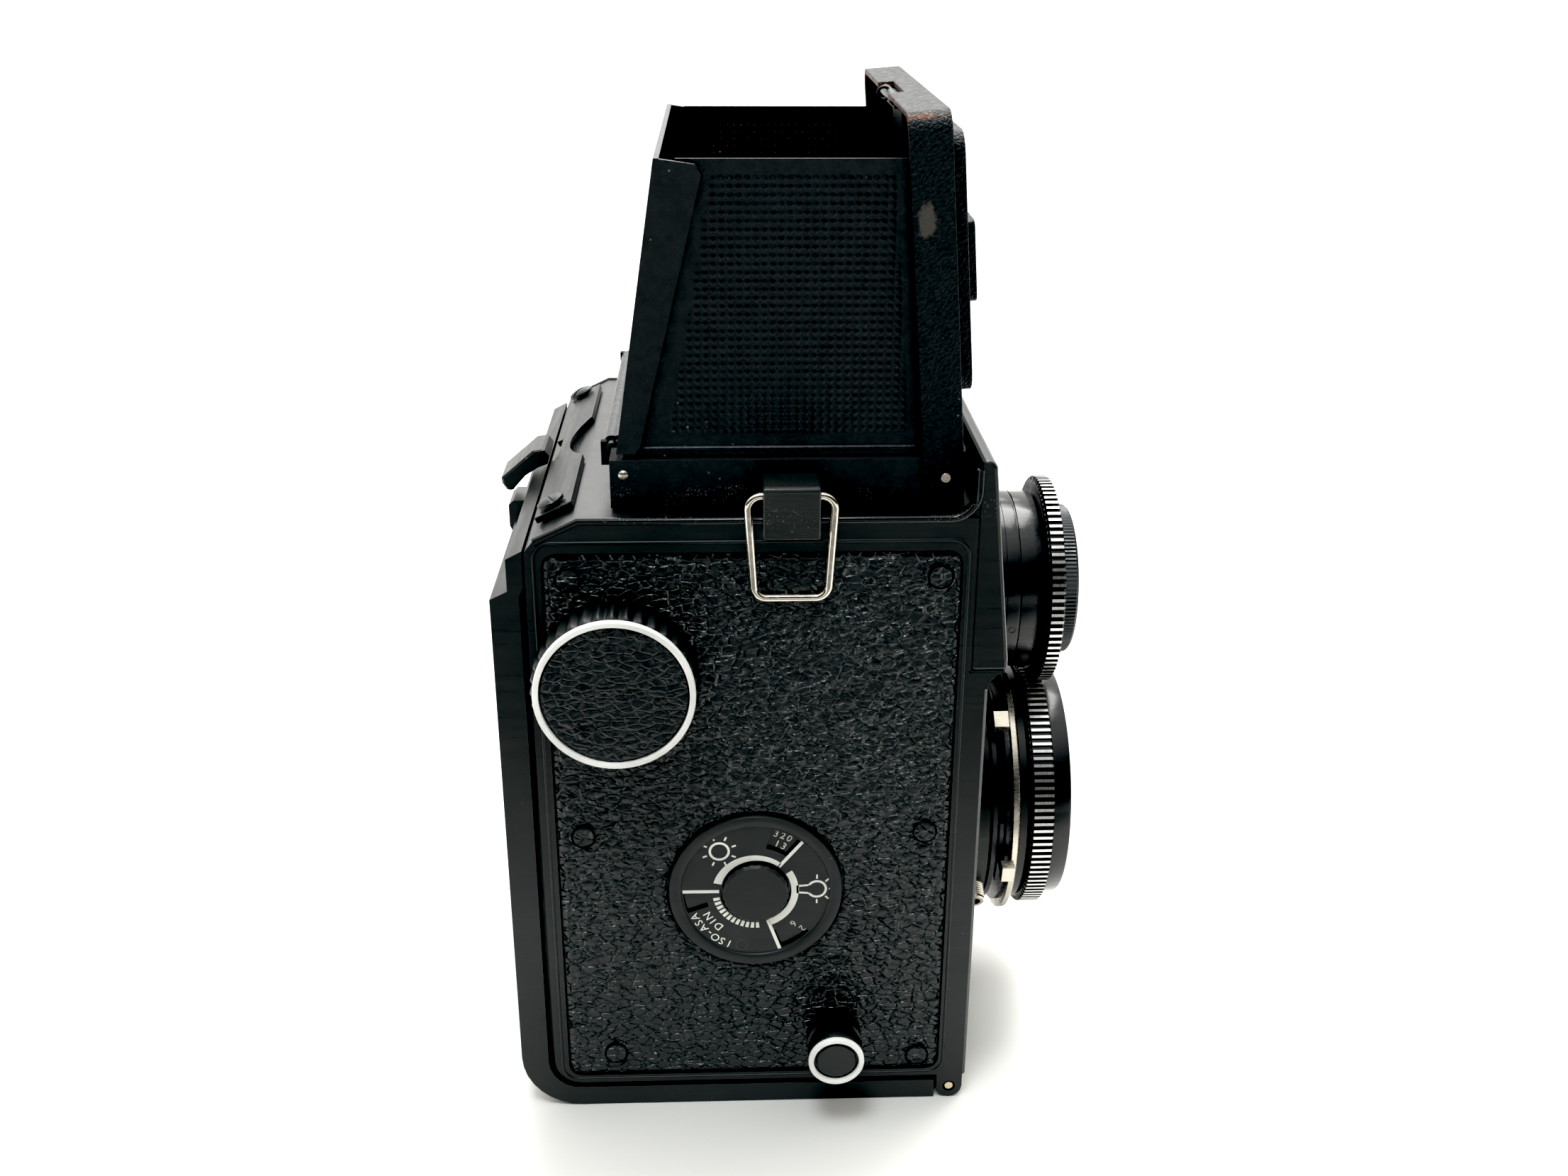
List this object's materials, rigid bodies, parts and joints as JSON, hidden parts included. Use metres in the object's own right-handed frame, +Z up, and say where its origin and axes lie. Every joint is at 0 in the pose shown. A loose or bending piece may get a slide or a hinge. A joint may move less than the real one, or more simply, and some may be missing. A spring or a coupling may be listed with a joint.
{
  "type": "twin lens reflex camera",
  "caption": "Twin lens reflex roll-film camera with open viewing hood, geared focusing rings, hinged film door and winding knob.",
  "frame": {"origin": "on the door's resting face, under the middle of the body", "axes": "+Z up, lenses towards -Y, film door towards +Y, winding knob on the -X side"},
  "size_m": [0.0912, 0.0968, 0.1638],
  "materials": {
    "black_plastic": "satin black moulded plastic",
    "leatherette": "black embossed leatherette",
    "painted_sheet": "semi-matt black paint on sheet metal",
    "bright_metal": "bright machined metal",
    "warm_metal": "brass with worn plating",
    "spring_steel": "bright spring steel",
    "white_trim": "glossy white trim ring",
    "gear_ring": "black anodised with bright worn teeth",
    "lens_glass": "coated optical glass",
    "ground_glass": "ground finder screen",
    "mirror_glass": "front-silvered mirror",
    "red_plastic": "clear red plastic",
    "dial_print": "black with white printed scales"
  },
  "bodies": {
    "camera_body": {"body_shell": "black_plastic", "light_chamber": "black_plastic", "front_top_cover": "black_plastic", "side_panel_right": "leatherette", "side_panel_left": "leatherette", "rear_top_plate": "black_plastic", "plate_screw_right": "spring_steel", "plate_screw_left": "spring_steel", "hood_base": "painted_sheet", "rear_hinge_rod": "spring_steel", "lid_hinge_rod": "warm_metal", "reflex_mirror": "mirror_glass", "focusing_screen": "ground_glass", "viewing_barrel": "black_plastic", "shutter_housing": "black_plastic", "cable_release_socket": "bright_metal", "taking_lens_rear": "lens_glass", "film_dial_plate": "dial_print", "strap_clip_right": "painted_sheet", "strap_clip_left": "painted_sheet", "accessory_shoe": "bright_metal", "door_hinge_pin": "warm_metal"},
    "film_door": {"back_door": "black_plastic", "pressure_plate": "painted_sheet", "pressure_spring": "spring_steel", "red_window": "red_plastic", "tripod_bush": "bright_metal"},
    "window_cover": {"window_cover": "black_plastic"},
    "door_latch": {"door_latch": "black_plastic"},
    "hood_lid": {"hood_lid": "painted_sheet"},
    "magnifier": {"magnifier_frame": "painted_sheet", "magnifier_lens": "lens_glass"},
    "hood_rear_panel": {"hood_rear_panel": "painted_sheet"},
    "hood_flap_right": {"hood_flap_right": "painted_sheet"},
    "hood_flap_left": {"hood_flap_left": "painted_sheet"},
    "viewing_focus": {"viewing_gear_ring": "gear_ring", "viewing_front_cell": "gear_ring", "viewing_lens_front": "lens_glass"},
    "taking_focus": {"taking_gear_ring": "gear_ring", "taking_front_cell": "gear_ring", "taking_lens_front": "lens_glass"},
    "aperture_ring": {"aperture_ring": "bright_metal"},
    "speed_ring": {"speed_ring": "warm_metal"},
    "release_lever": {"release_lever": "bright_metal"},
    "cocking_lever": {"cocking_lever": "bright_metal"},
    "winding_ratchet": {"winding_ratchet": "warm_metal"},
    "advance_knob": {"advance_knob": "black_plastic", "advance_knob_ring": "white_trim", "advance_knob_insert": "leatherette", "advance_spindle": "spring_steel"},
    "take_up_spool": {"take_up_spool": "black_plastic"},
    "supply_spool": {"supply_spool": "black_plastic"},
    "spool_knob": {"spool_knob": "black_plastic", "spool_knob_ring": "white_trim"},
    "film_dial": {"film_dial_numbers": "dial_print", "film_dial_hub": "black_plastic"},
    "strap_ring_right": {"strap_ring_right": "warm_metal"},
    "strap_ring_left": {"strap_ring_left": "warm_metal"},
    "film_roller_lower": {"film_roller_lower": "bright_metal"},
    "film_roller_upper": {"film_roller_upper": "bright_metal"}
  },
  "joints": [
    {"name": "door_hinge", "type": "hinge", "parent": "camera_body", "child": "film_door", "pos_m": [0, -0.0334, 0.0022], "axis": [-1, 0, 0], "range_deg": [0, 100]},
    {"name": "window_cover_slide", "type": "slide", "parent": "film_door", "child": "window_cover", "axis": [1, 0, 0], "range_m": [0, 0.014]},
    {"name": "latch_hinge", "type": "hinge", "parent": "camera_body", "child": "door_latch", "pos_m": [0, 0.034, 0.1046], "axis": [1, 0, 0], "range_deg": [0, 30], "stiffness_Nm_per_rad": 0.01, "springref_deg": -28.65},
    {"name": "lid_hinge", "type": "hinge", "parent": "camera_body", "child": "hood_lid", "pos_m": [0, -0.0285, 0.1115], "axis": [-1, 0, 0], "range_deg": [0, 4], "stiffness_Nm_per_rad": 0.02, "springref_deg": -57.3},
    {"name": "magnifier_hinge", "type": "hinge", "parent": "hood_lid", "child": "magnifier", "pos_m": [0, -0.02236, 0.16217], "axis": [1, 0, 0], "range_deg": [0, 90]},
    {"name": "rear_panel_hinge", "type": "hinge", "parent": "camera_body", "child": "hood_rear_panel", "pos_m": [0, 0.0211, 0.1139], "axis": [1, 0, 0], "range_deg": [0, 2], "stiffness_Nm_per_rad": 0.01, "springref_deg": -57.3},
    {"name": "flap_right_hinge", "type": "hinge", "parent": "camera_body", "child": "hood_flap_right", "pos_m": [-0.0327, 0, 0.1152], "axis": [0, 1, 0], "range_deg": [0, 90], "stiffness_Nm_per_rad": 0.004, "springref_deg": -57.3},
    {"name": "flap_left_hinge", "type": "hinge", "parent": "camera_body", "child": "hood_flap_left", "pos_m": [0.0327, 0, 0.1168], "axis": [0, -1, 0], "range_deg": [0, 90], "stiffness_Nm_per_rad": 0.004, "springref_deg": -57.3},
    {"name": "taking_focus_turn", "type": "hinge", "parent": "camera_body", "child": "taking_focus", "pos_m": [0, -0.0501, 0.0405], "axis": [0, 1, 0], "range_deg": [0, 230]},
    {"name": "viewing_focus_turn", "type": "hinge", "parent": "camera_body", "child": "viewing_focus", "pos_m": [0, -0.0507, 0.0805], "axis": [0, 1, 0], "range_deg": [-290, 0]},
    {"name": "aperture_turn", "type": "hinge", "parent": "camera_body", "child": "aperture_ring", "pos_m": [0, -0.0501, 0.0405], "axis": [0, 1, 0], "range_deg": [-44, 0]},
    {"name": "speed_turn", "type": "hinge", "parent": "camera_body", "child": "speed_ring", "pos_m": [0, -0.0501, 0.0405], "axis": [0, 1, 0], "range_deg": [-40, 40]},
    {"name": "release_turn", "type": "hinge", "parent": "camera_body", "child": "release_lever", "pos_m": [0, -0.0501, 0.0405], "axis": [0, 1, 0], "range_deg": [-14, 0], "stiffness_Nm_per_rad": 0.002, "springref_deg": 28.65},
    {"name": "cocking_turn", "type": "hinge", "parent": "camera_body", "child": "cocking_lever", "pos_m": [0, -0.0501, 0.0405], "axis": [0, 1, 0], "range_deg": [0, 40], "stiffness_Nm_per_rad": 0.002, "springref_deg": -28.65},
    {"name": "advance_turn", "type": "hinge", "parent": "camera_body", "child": "winding_ratchet", "pos_m": [-0.034, 0.0206, 0.0822], "axis": [-1, 0, 0], "continuous": true},
    {"name": "advance_pull", "type": "slide", "parent": "winding_ratchet", "child": "advance_knob", "axis": [-1, 0, 0], "range_m": [0, 0.006]},
    {"name": "take_up_turn", "type": "hinge", "parent": "camera_body", "child": "take_up_spool", "pos_m": [0, 0.0206, 0.0822], "axis": [-1, 0, 0], "continuous": true},
    {"name": "supply_turn", "type": "hinge", "parent": "camera_body", "child": "supply_spool", "pos_m": [0, -0.0132, 0.0152], "axis": [-1, 0, 0], "continuous": true},
    {"name": "spool_knob_pull", "type": "slide", "parent": "camera_body", "child": "spool_knob", "axis": [-1, 0, 0], "range_m": [0, 0.006], "stiffness_N_per_m": 300, "springref_m": -0.001},
    {"name": "film_dial_turn", "type": "hinge", "parent": "camera_body", "child": "film_dial", "pos_m": [-0.039, -0.00025, 0.0424], "axis": [-1, 0, 0], "continuous": true},
    {"name": "strap_right_swing", "type": "hinge", "parent": "camera_body", "child": "strap_ring_right", "pos_m": [-0.03995, -0.0056, 0.1103], "axis": [0, 1, 0], "range_deg": [0, 95]},
    {"name": "strap_left_swing", "type": "hinge", "parent": "camera_body", "child": "strap_ring_left", "pos_m": [0.03995, -0.0056, 0.1103], "axis": [0, -1, 0], "range_deg": [0, 95]},
    {"name": "roller_lower_turn", "type": "hinge", "parent": "camera_body", "child": "film_roller_lower", "pos_m": [0, 0.0312, 0.0096], "axis": [1, 0, 0], "continuous": true},
    {"name": "roller_upper_turn", "type": "hinge", "parent": "camera_body", "child": "film_roller_upper", "pos_m": [0, 0.0312, 0.0726], "axis": [1, 0, 0], "continuous": true}
  ],
  "couplings": [
    {"joint": "viewing_focus_turn", "follows": "taking_focus_turn", "ratio": -1.25},
    {"joint": "take_up_turn", "follows": "advance_turn", "ratio": 1}
  ]
}
